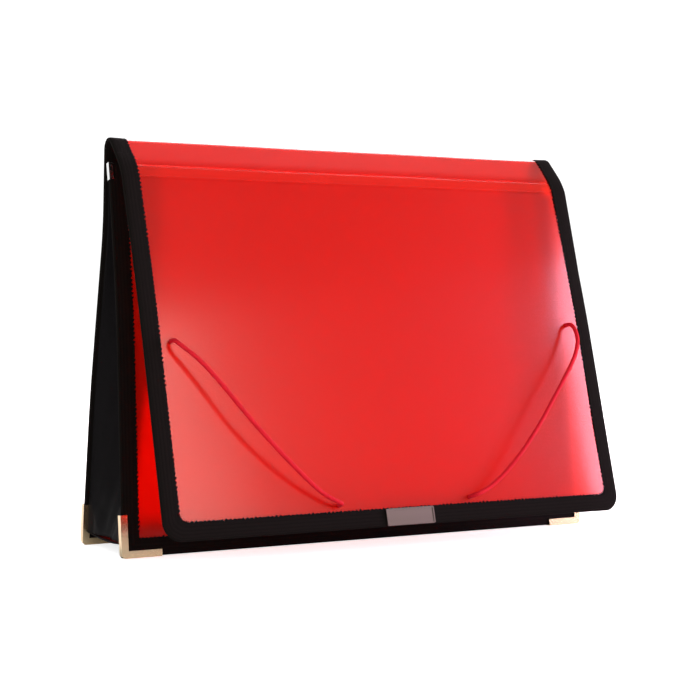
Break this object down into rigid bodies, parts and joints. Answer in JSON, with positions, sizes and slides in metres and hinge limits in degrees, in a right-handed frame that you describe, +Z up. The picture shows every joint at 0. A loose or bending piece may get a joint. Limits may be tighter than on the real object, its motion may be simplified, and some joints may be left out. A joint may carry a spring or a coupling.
{
  "type": "document bag",
  "caption": "Translucent expanding document bag with a fold-over flap, taped edges, cloth gussets, metal corner guards and an elastic closure.",
  "frame": {"origin": "on the floor, under the middle of the bag's outer box, without the two free elastic arcs", "axes": "+Z up, -Y towards the flap and the front, +X to the right when the flap is faced"},
  "size_m": [0.3458, 0.1322, 0.2601],
  "materials": {
    "frosted_sheet": "frosted translucent polypropylene sheet",
    "binding_tape": "woven black tape",
    "gusset_cloth": "coated black cloth",
    "gold_guard": "bright plated",
    "silver_clip": "bright plated",
    "label_metal": "nickel plated, blank",
    "elastic": "braided elastic cord",
    "stop_bead": "moulded bead"
  },
  "bodies": {
    "rear": {"rear_panel": "frosted_sheet", "rear_binding": "binding_tape", "corner_rear_left": "gold_guard", "corner_rear_right": "gold_guard", "gusset_left": "gusset_cloth", "gusset_right": "gusset_cloth", "gusset_floor": "gusset_cloth"},
    "spine": {"spine_sheet": "frosted_sheet", "spine_binding_left": "binding_tape", "spine_binding_right": "binding_tape"},
    "flap": {"crease_strip": "frosted_sheet", "flap_panel": "frosted_sheet", "flap_binding": "binding_tape", "label_plate": "label_metal", "elastic_left": "elastic", "elastic_right": "elastic", "elastic_back": "elastic", "elastic_stop_left": "stop_bead", "elastic_stop_right": "stop_bead"},
    "front": {"front_panel": "frosted_sheet", "front_binding": "binding_tape", "corner_front_left": "gold_guard", "corner_front_right": "gold_guard", "clip_left": "silver_clip", "clip_right": "silver_clip"}
  },
  "joints": [
    {"name": "top_fold", "type": "hinge", "parent": "rear", "child": "spine", "pos_m": [0, 0.0341, 0.252], "axis": [-1, 0, 0], "range_deg": [0, 160]},
    {"name": "flap_crease", "type": "hinge", "parent": "spine", "child": "flap", "pos_m": [0, 0.00553, 0.24227], "axis": [-1, 0, 0], "range_deg": [-8, 75]},
    {"name": "front_collapse", "type": "hinge", "parent": "rear", "child": "front", "pos_m": [0, 0.026, 0.244], "axis": [1, 0, 0], "range_deg": [0, 14], "deforming": ["gusset_left", "gusset_right", "gusset_floor"]}
  ]
}
